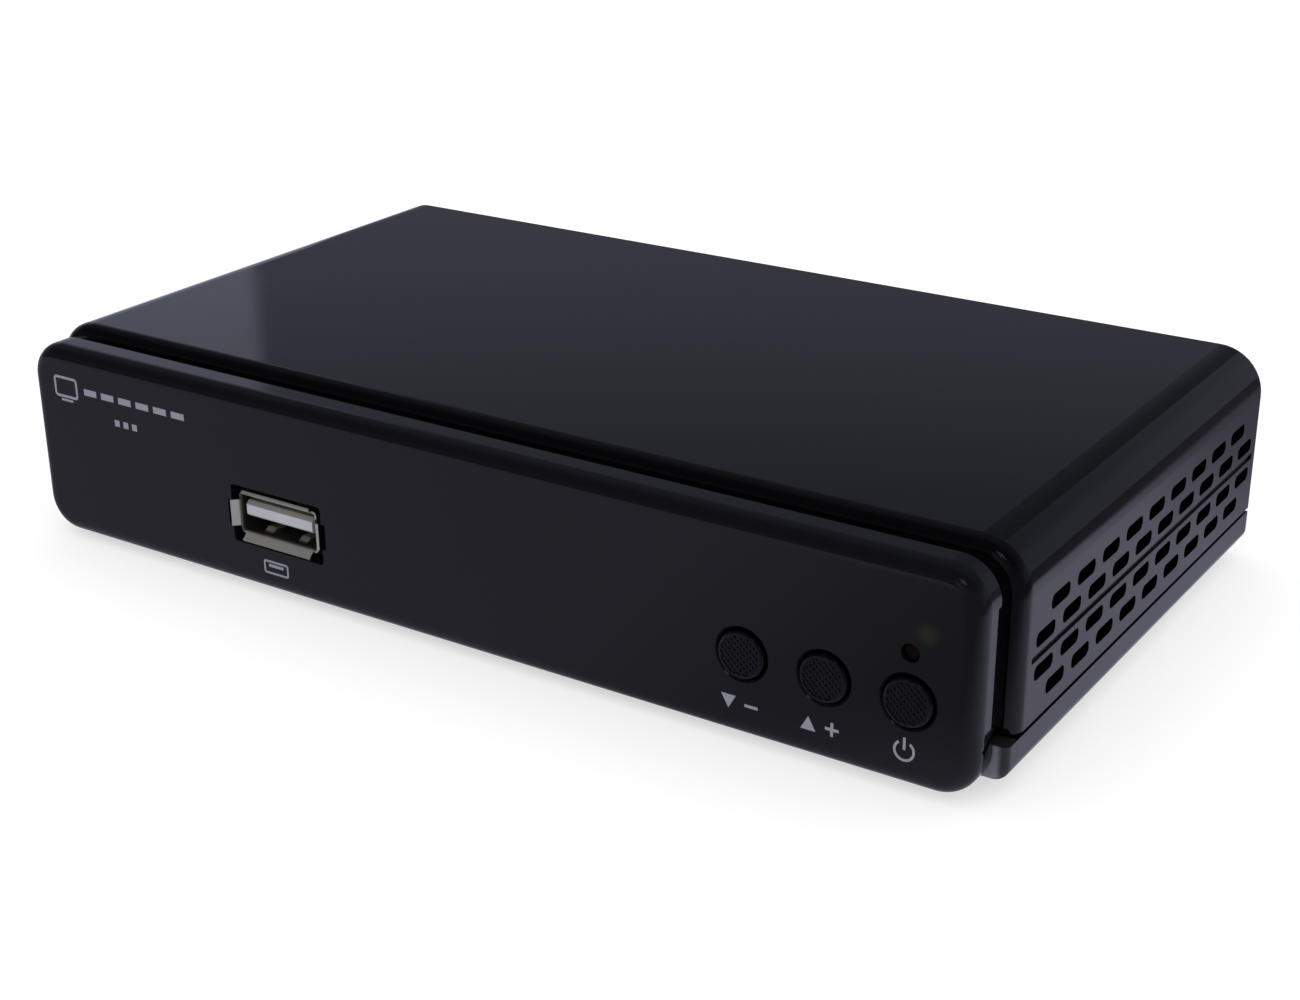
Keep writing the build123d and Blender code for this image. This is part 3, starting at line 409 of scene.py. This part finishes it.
def casing(name, satin_colour, step=False):
    """Polished black on top and in front, and a fine satin texture on the side walls and below.

    Where the base steps out behind the front panel it is duller, with a painted highlight, a pale bluish
    streak, on its front beside the panel.
    """
    material = bpy.data.materials.new(name)
    tree = new_tree(material)
    outward = outward_normal(tree)
    place = node(tree, "ShaderNodeSeparateXYZ", Vector=place_in(tree))
    depth = place.outputs["Y"]
    sideways = maths(tree, "ABSOLUTE", dot(tree, outward, (1.0, 0.0, 0.0)))
    behind_neck = ranged(tree, depth, SATIN_START, SATIN_START + 0.5 * MM)
    walls = product(tree, ranged(tree, sideways, 0.965, 0.998), behind_neck)
    below = ranged(tree, dot(tree, outward, (0.0, 0.0, -1.0)), 0.93, 0.985)
    satin = maths(tree, "MAXIMUM", walls, below)
    grain = noise(tree, 1.0 / (0.20 * MM), 3.0)
    swell = noise(tree, 1.0 / (9 * MM), 1.0)
    relief = total(tree, product(tree, grain, satin), product(tree, swell, 0.06))
    haze = noise(tree, 1.0 / (14 * MM), 4.0)
    polish = ranged(tree, haze, 0.35, 0.75, 0.035, 0.075)
    colour = mixed(tree, satin, (0.0010, 0.0010, 0.0013), satin_colour)
    if step:
        step_back = ranged(tree, depth, SATIN_START, SATIN_START - 0.4 * MM)
        near = product(tree, step_back, maths(tree, "GREATER_THAN", depth, panel_high.y + 0.1 * MM))
        front = product(tree, ranged(tree, dot(tree, outward, (0.0, -1.0, 0.0)), 0.6, 0.95), near)
        beside = maths(tree, "ABSOLUTE", place.outputs["X"])
        # Painted highlight: a pale bluish streak on the base's front just beside the panel's side, standing
        # for light caught there
        painted_highlight = ranged(tree, beside, panel_high.x + 1.1 * MM, panel_high.x + 0.3 * MM)
        colour = mixed(tree, near, colour, (0.012, 0.012, 0.015))
        colour = mixed(tree, product(tree, painted_highlight, front), colour, (0.125, 0.130, 0.165))
        satin = maths(tree, "MAXIMUM", satin, product(tree, near, 0.6))
    shader(
        tree,
        Base_Color=colour,
        Roughness=total(tree, polish, product(tree, satin, 0.34)),
        Normal=bumped(tree, relief, 0.32, 0.02 * MM),
        IOR=1.5,
    )
    return material


def smoked_panel():
    """Smoked gloss plastic, a little clearer where the receiver shows through it."""
    material = bpy.data.materials.new("smoked_panel")
    tree = new_tree(material)
    spot = middle("ir_receiver")
    spot.y = face_y
    spot.z -= 1.1 * MM
    distance = vector_maths(tree, "DISTANCE", place_in(tree), spot, "Value")
    near = ranged(tree, distance, 1.7 * MM, 0.5 * MM)
    haze = noise(tree, 1.0 / (11 * MM), 4.0)
    swell = noise(tree, 1.0 / (12 * MM), 1.0)
    shader(
        tree,
        Base_Color=mixed(tree, near, (0.0036, 0.0037, 0.0052), (0.0108, 0.0102, 0.0060)),
        Roughness=ranged(tree, haze, 0.3, 0.75, 0.05, 0.10),
        Normal=bumped(tree, swell, 0.10, 0.004 * MM),
        IOR=1.49,
    )
    return material


def button_cap():
    """Satin on the button's face, and polished round its side."""
    material = bpy.data.materials.new("button_cap")
    tree = new_tree(material)
    face = ranged(tree, dot(tree, outward_normal(tree), (0.0, -1.0, 0.0)), 0.70, 0.97)
    grain = noise(tree, 1.0 / (0.10 * MM), 2.0)
    wear = noise(tree, 1.0 / (1.8 * MM), 3.0)
    polish = ranged(tree, wear, 0.3, 0.7, 0.10, 0.16)
    shader(
        tree,
        Base_Color=mixed(tree, face, (0.0008, 0.0008, 0.0010), (0.0016, 0.0021, 0.0044)),
        Roughness=total(tree, polish, product(tree, face, 0.28)),
        Normal=bumped(tree, product(tree, grain, face), 0.12, 0.01 * MM),
        IOR=1.46,
    )
    return material


def clear_pipe():
    """Tinted clear plastic over the indicator."""
    material = bpy.data.materials.new("clear_pipe")
    tree = new_tree(material)
    across = dot(tree, place_in(tree), (1.0 / (0.9 * MM), 0.0, 0.0))
    centre = middle("light_pipe").x / (0.9 * MM)
    shift = ranged(tree, across, centre - 0.6, centre + 0.6)
    cloud = noise(tree, 1.0 / (0.5 * MM), 2.0)
    shader(
        tree,
        Base_Color=mixed(tree, shift, (0.0010, 0.0016, 0.0004), (0.0060, 0.0010, 0.0006)),
        Roughness=ranged(tree, cloud, 0.3, 0.7, 0.12, 0.25),
        IOR=1.22,
    )
    return material


def metal(name, colour, roughness, along=(1.0, 1.0, 1.0), mark_size=0.4 * MM, bump=0.05, metallic=1.0):
    """Plated or rolled metal: marks stretched along one direction, with uneven polish."""
    material = bpy.data.materials.new(name)
    tree = new_tree(material)
    marks = noise(tree, 1.0 / mark_size, 4.0, stretched(tree, along))
    stain = noise(tree, 1.0 / (3 * MM), 3.0)
    dull = tuple(c * 0.94 for c in colour)
    shader(
        tree,
        Base_Color=mixed(tree, stain, dull, colour),
        Roughness=ranged(tree, marks, 0.3, 0.7, roughness * 0.85, roughness * 1.2),
        Normal=bumped(tree, marks, bump, 0.02 * MM),
        Metallic=metallic,
    )
    return material


def port_shell():
    """Nickel that is bright at the port's mouth and on its springs, and darkened by painted shade on its
    walls inside the port and on their outer side.
    """
    material = bpy.data.materials.new("port_shell")
    tree = new_tree(material)
    centre = middle("usb_shell")
    where = node(tree, "ShaderNodeSeparateXYZ", Vector=place_in(tree))
    across, depth, height = (where.outputs[axis] for axis in "XYZ")
    beside = maths(tree, "ABSOLUTE", maths(tree, "SUBTRACT", across, centre.x))
    above = maths(tree, "ABSOLUTE", maths(tree, "SUBTRACT", height, PORT_Z))
    springs = product(
        tree,
        ranged(tree, beside, PORT_HALF_X - 0.2 * MM, PORT_HALF_X - 0.5 * MM),
        ranged(tree, above, PORT_HALF_Z - 0.05 * MM, PORT_HALF_Z - 0.3 * MM),
        0.6,
    )
    # The outer side of the walls, and the left wall's edge, are darkened by painted shade even at the mouth
    outward = outward_normal(tree)
    from_centre = vector_maths(tree, "SUBTRACT", place_in(tree), (centre.x, face_y, PORT_Z))
    shaded_outside = product(
        tree,
        maths(tree, "GREATER_THAN", vector_maths(tree, "DOT_PRODUCT", from_centre, outward, "Value"), 0.0),
        maths(tree, "GREATER_THAN", dot(tree, outward, (0.0, 1.0, 0.0)), -0.3),
    )
    shaded_left_edge = product(
        tree,
        ranged(tree, across, centre.x - PORT_HALF_X + 0.4 * MM, centre.x - PORT_HALF_X),
        ranged(tree, depth, face_y + 0.3 * MM, face_y + 0.5 * MM, 0.0, 0.8),
    )
    mouth = product(
        tree,
        ranged(tree, depth, face_y + 1.3 * MM, face_y + 0.3 * MM),
        maths(tree, "SUBTRACT", 1.0, shaded_outside),
        maths(tree, "SUBTRACT", 1.0, shaded_left_edge),
    )
    # Painted shade: the nickel keeps its own colour only at the mouth and on the springs, and is near black
    # deeper in the port and outside
    unshaded = maths(tree, "MAXIMUM", mouth, springs)
    marks = noise(tree, 1.0 / (0.5 * MM), 3.0)
    shader(
        tree,
        Base_Color=mixed(tree, unshaded, (0.040, 0.038, 0.033), (0.58, 0.56, 0.52)),
        Roughness=ranged(tree, marks, 0.3, 0.7, 0.28, 0.36),
        Metallic=0.75,
    )
    return material


def port_tongue():
    """White plastic, with painted shade on its upper side and the top of its nose, which face up under the
    port's roof.
    """
    material = bpy.data.materials.new("port_tongue")
    tree = new_tree(material)
    # Painted shade: faces that turn upward, under the port's roof, are darker and browner than the front
    shaded_upper_side = ranged(tree, dot(tree, outward_normal(tree), (0.0, 0.0, 1.0)), 0.40, 0.75)
    front_colour = varied(tree, (0.37, 0.37, 0.42), 0.08, 2 * MM)
    patches = noise(tree, 1.0 / (1.5 * MM), 3.0)
    shader(
        tree,
        Base_Color=mixed(tree, shaded_upper_side, front_colour, (0.19, 0.18, 0.165)),
        Roughness=ranged(tree, patches, 0.3, 0.7, 0.40, 0.50),
        Normal=fine_texture(tree, 0.3 * MM, 0.03 * MM, 0.1),
        IOR=1.46,
    )
    return material


def circuit_board():
    """Green solder mask over copper: the traces are slightly raised and lighter, and the weave shows."""
    material = bpy.data.materials.new("circuit_board")
    tree = new_tree(material)
    where = place_in(tree)
    cells = node(
        tree,
        "ShaderNodeTexVoronoi",
        {"feature": "DISTANCE_TO_EDGE"},
        Vector=where,
        Scale=1.0 / (3.2 * MM),
        Randomness=0.55,
    ).outputs["Distance"]
    traces = ranged(tree, cells, 0.06, 0.035)
    turns = 2 * math.pi / (0.5 * MM)
    weave = product(
        tree,
        maths(tree, "SINE", dot(tree, where, (turns, 0, 0))),
        maths(tree, "SINE", dot(tree, where, (0, turns, 0))),
        0.08,
    )
    relief = total(tree, traces, weave)
    shader(
        tree,
        Base_Color=mixed(tree, traces, (0.012, 0.085, 0.034), (0.03, 0.17, 0.07)),
        Roughness=ranged(tree, noise(tree, 1.0 / (2 * MM)), 0.3, 0.7, 0.25, 0.4),
        Normal=bumped(tree, relief, 0.25, 0.03 * MM),
        IOR=1.5,
    )
    return material


def printed_ink():
    """Pale ink, screen printed: slightly uneven in cover."""
    material = bpy.data.materials.new("printed_ink")
    tree = new_tree(material)
    cover = noise(tree, 1.0 / (0.12 * MM), 3.0)
    shader(
        tree,
        Base_Color=mixed(tree, cover, (0.17, 0.17, 0.215), (0.245, 0.245, 0.30)),
        Roughness=ranged(tree, cover, 0.3, 0.7, 0.45, 0.6),
        Normal=bumped(tree, cover, 0.2, 0.01 * MM),
    )
    return material


makers = {
    "gloss_black": lambda: casing("gloss_casing", (0.028, 0.026, 0.037)),
    "smoked_gloss": smoked_panel,
    "clear_pipe": clear_pipe,
    "board_green": circuit_board,
    "satin_black": lambda: moulded_plastic("satin_black", (0.035, 0.033, 0.045), 0.42, 0.20 * MM, 0.35),
    "button_black": button_cap,
    "receiver_dark": lambda: moulded_plastic("receiver_dark", (0.06, 0.045, 0.015), 0.15, 0.5 * MM, 0.03),
    "steel": lambda: metal("rolled_steel", (0.62, 0.60, 0.56), 0.32, (0.15, 1.0, 1.0)),
    "nickel": lambda: metal("nickel_plate", (0.70, 0.67, 0.62), 0.34, (1.0, 0.4, 1.0), 0.6 * MM, 0.015, 0.82),
    "white_plastic": lambda: moulded_plastic("white_plastic", (0.37, 0.37, 0.42), 0.45, 0.3 * MM, 0.1),
    "contact_gold": lambda: metal("contact_gold", (0.83, 0.60, 0.26), 0.22, (1.0, 0.3, 1.0), 0.3 * MM, 0.03),
    "chip_black": lambda: moulded_plastic("chip_black", (0.016, 0.016, 0.017), 0.6, 0.1 * MM, 0.35),
    "sink_aluminium": lambda: metal("sink_aluminium", (0.55, 0.55, 0.57), 0.38, (1.0, 0.1, 1.0)),
    "capacitor_sleeve": lambda: moulded_plastic(
        "capacitor_sleeve", (0.02, 0.024, 0.06), 0.25, 0.6 * MM, 0.05
    ),
    "ferrite_grey": lambda: moulded_plastic("ferrite_grey", (0.09, 0.09, 0.095), 0.65, 0.12 * MM, 0.4),
    "jack_yellow": lambda: moulded_plastic("jack_yellow", (0.80, 0.56, 0.03), 0.4, 0.3 * MM, 0.1),
    "jack_white": lambda: moulded_plastic("jack_white", (0.80, 0.80, 0.77), 0.4, 0.3 * MM, 0.1),
    "jack_red": lambda: moulded_plastic("jack_red", (0.56, 0.025, 0.025), 0.4, 0.3 * MM, 0.1),
    "screw_steel": lambda: metal("screw_steel", (0.36, 0.36, 0.38), 0.35, (1.0, 1.0, 1.0), 0.2 * MM),
    "rubber_black": lambda: moulded_plastic("rubber_black", (0.018, 0.018, 0.018), 0.8, 0.15 * MM, 0.5),
    "label_silver": lambda: metal("label_silver", (0.60, 0.60, 0.62), 0.45, (0.1, 1.0, 1.0), 0.1 * MM, 0.02),
}
finishes = {name: make() for name, make in makers.items()}
own_finish = {
    "lower_shell": casing("lower_casing", (0.036, 0.034, 0.048), step=True),
    "usb_shell": port_shell(),
    "usb_tongue": port_tongue(),
}
ink = printed_ink()

for name, cad in frame["nodes"].items():
    cad.data.materials.clear()
    cad.data.materials.append(own_finish.get(name) or finishes[slot_of[name]])


# ---------------------------------------------------------------- antenna connectors

BORE = 3.4 * MM
BORE_START = 0.5 * MM
NECK = 4.6 * MM
FLANGE = 0.9 * MM
THREAD_CREST = 4.76 * MM
THREAD_ROOT = 4.32 * MM
THREAD_PITCH = 0.794 * MM
THREAD_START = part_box("antenna_nuts")[1].y + 0.1 * MM
THREAD_BEVEL = 0.45 * MM
AROUND = 72
PER_TURN = 8
turn_angles = [2 * math.pi * i / AROUND for i in range(AROUND)]


def square_radius(half):
    """A square's radius by angle."""
    return lambda angle: half / max(abs(math.cos(angle)), abs(math.sin(angle)))


def round_radius(radius):
    """A circle's radius, which is the same at every angle."""
    return lambda angle: radius


def thread_radius(y, end):
    """The radius by angle of a helical V thread, at one place from its run-out to its bevelled end."""
    run_out = min(1.0, (y - THREAD_START) / THREAD_PITCH)
    bevel = max(0.0, y - (end - THREAD_BEVEL))

    def radius(angle):
        phase = ((y - THREAD_START) / THREAD_PITCH - angle / (2 * math.pi)) % 1.0
        depth = abs(2 * phase - 1) * run_out * (THREAD_CREST - THREAD_ROOT)
        return min(THREAD_CREST - depth, THREAD_CREST - bevel)

    return radius


def turned(mesh, x, z, rows, closed):
    """Add a turned shape whose rows give its radius by angle and its place along Y."""
    rings = []
    for radius, y in rows:
        points = [(radius(a) * math.cos(a), radius(a) * math.sin(a)) for a in turn_angles]
        rings.append([mesh.verts.new((x + u, y, z + v)) for u, v in points])
    pairs = list(zip(rings, rings[1:]))
    if closed:
        pairs.append((rings[-1], rings[0]))
    else:
        mesh.faces.new(rings[0])
        mesh.faces.new(rings[-1])
    for first, second in pairs:
        for i in range(AROUND):
            j = (i + 1) % AROUND
            mesh.faces.new((first[i], first[j], second[j], second[i]))


def antenna_barrel(name):
    """An antenna connector with its real thread, which stands for the plain CAD one."""
    low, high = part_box(name + "_connector")
    x, z = (low.x + high.x) / 2, (low.z + high.z) / 2
    mesh = bmesh.new()
    square, neck, bore = square_radius((high.x - low.x) / 2), round_radius(NECK), round_radius(BORE)
    # The square flange behind the rear panel
    flange_back = low.y + FLANGE
    turned(mesh, x, z, [(square, low.y), (square, flange_back), (neck, flange_back), (neck, low.y)], True)
    # The barrel: a plain neck through the nut, the thread, and the bore
    rows = [(neck, low.y), (neck, THREAD_START)]
    count = round((high.y - THREAD_START) / THREAD_PITCH * PER_TURN)
    for i in range(1, count + 1):
        y = THREAD_START + (high.y - THREAD_START) * i / count
        rows.append((thread_radius(y, high.y), y))
    rows += [(bore, high.y), (bore, low.y + BORE_START)]
    turned(mesh, x, z, rows, False)
    bmesh.ops.recalc_face_normals(mesh, faces=mesh.faces)
    data = bpy.data.meshes.new(name + "_barrel")
    mesh.to_mesh(data)
    mesh.free()
    data.shade_smooth()
    data.set_sharp_from_angle(angle=math.radians(50))
    data.materials.append(finishes["nickel"])
    piece = bpy.data.objects.new(name + "_barrel", data)
    scene.collection.objects.link(piece)
    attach(piece, "case")
    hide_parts(name + "_connector")


for name in ("antenna_in", "antenna_out"):
    antenna_barrel(name)


# ---------------------------------------------------------------- printed marks

INK = 0.025 * MM
ARC_STEPS = 40


class Print:
    """Flat marks with the thickness of ink, drawn in millimetres on one face of the object."""

    def __init__(self, place):
        self.place = place
        self.mesh = bmesh.new()

    def ring(self, shaded_outside, inner, closed):
        """A band between two lines of points."""
        layers = []
        for depth in (0.0, INK):
            layers.append([[self.mesh.verts.new(self.place(u, v, depth)) for u, v in line]
                           for line in (shaded_outside, inner)])
        (back_out, back_in), (front_out, front_in) = layers
        count = len(shaded_outside)
        for i in range(count if closed else count - 1):
            j = (i + 1) % count
            self.mesh.faces.new((front_out[i], front_out[j], front_in[j], front_in[i]))
            self.mesh.faces.new((back_in[i], back_in[j], back_out[j], back_out[i]))
            self.mesh.faces.new((back_out[i], back_out[j], front_out[j], front_out[i]))
            self.mesh.faces.new((front_in[i], front_in[j], back_in[j], back_in[i]))
        if not closed:
            for i in (0, count - 1):
                self.mesh.faces.new((front_out[i], front_in[i], back_in[i], back_out[i]))

    def fill(self, points):
        """A filled outline."""
        back = [self.mesh.verts.new(self.place(u, v, 0.0)) for u, v in points]
        front = [self.mesh.verts.new(self.place(u, v, INK)) for u, v in points]
        self.mesh.faces.new(front)
        self.mesh.faces.new(list(reversed(back)))
        for i in range(len(points)):
            j = (i + 1) % len(points)
            self.mesh.faces.new((back[i], back[j], front[j], front[i]))

    def bar(self, u, v, width, height):
        """A filled bar about its centre."""
        self.fill([(u - width / 2, v - height / 2), (u + width / 2, v - height / 2),
                   (u + width / 2, v + height / 2), (u - width / 2, v + height / 2)])

    def dot(self, u, v, radius):
        """A filled round dot."""
        self.fill(arc(u, v, radius, 0, 360)[:-1])

    def frame(self, u, v, width, height, corner, line):
        """The outline of a rounded rectangle."""
        self.ring(rounded(u, v, width, height, corner),
                  rounded(u, v, width - 2 * line, height - 2 * line, corner - line), True)

    def make(self, name):
        """Turn the marks into one piece that rides on the casing."""
        bmesh.ops.recalc_face_normals(self.mesh, faces=self.mesh.faces)
        data = bpy.data.meshes.new(name)
        self.mesh.to_mesh(data)
        self.mesh.free()
        data.materials.append(ink)
        piece = bpy.data.objects.new(name, data)
        scene.collection.objects.link(piece)
        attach(piece, "case")


def arc(u, v, radius, start, end):
    """Points on an arc, with its angles in degrees."""
    angles = [math.radians(start + (end - start) * i / ARC_STEPS) for i in range(ARC_STEPS + 1)]
    return [(u + radius * math.cos(a), v + radius * math.sin(a)) for a in angles]


def rounded(u, v, width, height, corner):
    """Points round a rounded rectangle."""
    points = []
    for turn, (su, sv) in zip((0, 90, 180, 270), ((1, 1), (-1, 1), (-1, -1), (1, -1))):
        centre = (u + su * (width / 2 - corner), v + sv * (height / 2 - corner))
        points += arc(*centre, corner, turn, turn + 90)
    return points


def on_front(u, v, depth):
    """A point on the front panel: across, and up from its lower edge."""
    return Vector((u * MM, face_y - depth, panel_low.z + v * MM))


def on_rear(u, v, depth):
    """A point on the rear panel: across and up from the floor, as the object's own X and Z."""
    return Vector((u * MM, rear_face_y + depth, v * MM))


def on_label(u, v, depth):
    """A point on the underside label, seen from below."""
    low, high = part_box("underside_label")
    centre = (low + high) / 2
    return Vector((centre.x + u * MM, centre.y + v * MM, low.z - depth))


def front_marks():
    """Pictograms under the port and the buttons, each a little to the left of what it marks."""
    marks = Print(on_front)
    # A port: a socket outline with its tongue
    usb = middle("usb_shell").x / MM - 0.45
    marks.frame(usb, 3.74, 4.2, 1.9, 0.4, 0.28)
    marks.bar(usb, 4.0, 2.5, 0.42)
    # Channel down and up: a triangle with a minus or a plus
    for body, sign, low, nudge in (("channel_down", -1, 4.3, -0.1), ("channel_up", 1, 4.5, -0.25)):
        u = middle(body + "_button").x / MM + nudge
        tip = 0.85 * sign
        base = [(u - 2.45, low - tip), (u - 0.55, low - tip), (u - 1.5, low + tip)]
        marks.fill(base)
        marks.bar(u + 1.45, low, 1.7, 0.36)
        if sign > 0:
            marks.bar(u + 1.45, low + 0.515, 0.36, 0.67)
            marks.bar(u + 1.45, low - 0.515, 0.36, 0.67)
    # Power: a broken circle with a stroke
    u, v = middle("power_button").x / MM - 0.2, 4.6
    marks.ring(arc(u, v, 1.3, 125, 415), arc(u, v, 1.0, 125, 415), False)
    marks.bar(u, v + 0.85, 0.32, 1.5)
    marks.make("front_marks")


def trim_mark():
    """A plain television outline with a rule beside it, and three small squares below."""
    marks = Print(on_front)
    screen_u, row_v, foot_v = -63.6, 21.6, 19.75
    marks.frame(screen_u, row_v, 4.4, 3.0, 0.6, 0.36)
    marks.bar(screen_u, foot_v, 2.2, 0.32)
    rule_u, rule_pitch = -59.0, 3.2
    for i in range(6):
        marks.bar(rule_u + rule_pitch * i, row_v, 2.3, 0.9)
    square_u, square_v, square_pitch = -54.4, 18.3, 1.6
    for i in range(3):
        marks.bar(square_u + square_pitch * i, square_v, 0.9, 0.9)
    marks.make("trim_mark")


def rear_marks():
    """An arrow at each antenna connector, and outlines beside the other connectors."""
    marks = Print(on_rear)
    arrow_v, jack_v, screen_v, current_v = 24.2, 22.4, 16.4, 21.6
    for name, up in (("antenna_in", -1), ("antenna_out", 1)):
        u, v = middle(name + "_connector").x / MM, arrow_v
        marks.fill([(u - 0.9, v - 0.2 * up), (u + 0.9, v - 0.2 * up), (u, v + 1.0 * up)])
        marks.bar(u, v - 0.75 * up, 0.5, 1.1)
    for name in ("video_jack", "left_audio_jack", "right_audio_jack"):
        u = middle(name + "_insulator").x / MM
        marks.ring(arc(u, jack_v, 0.9, 0, 360)[:-1], arc(u, jack_v, 0.6, 0, 360)[:-1], True)
        marks.dot(u, jack_v, 0.28)
    u = middle("hdmi_shell").x / MM
    marks.frame(u, screen_v, 4.6, 2.8, 0.4, 0.26)
    marks.bar(u, screen_v - 1.8, 2.0, 0.26)
    # Direct current: a solid line over a broken one
    u = middle("power_jack_pin").x / MM
    marks.bar(u, current_v, 3.4, 0.32)
    for i in (-1, 0, 1):
        marks.bar(u + 1.25 * i, current_v - 0.8, 0.85, 0.32)
    marks.make("rear_marks")


def label_marks():
    """Blank ruled boxes on the underside label."""
    marks = Print(on_label)
    marks.frame(0.0, 0.0, 43.0, 21.0, 0.8, 0.2)
    for v in (-3.5, 3.5):
        marks.bar(0.0, v, 42.4, 0.16)
    marks.bar(8.0, 7.0, 0.16, 6.6)
    marks.make("label_marks")


front_marks()
trim_mark()
rear_marks()
label_marks()
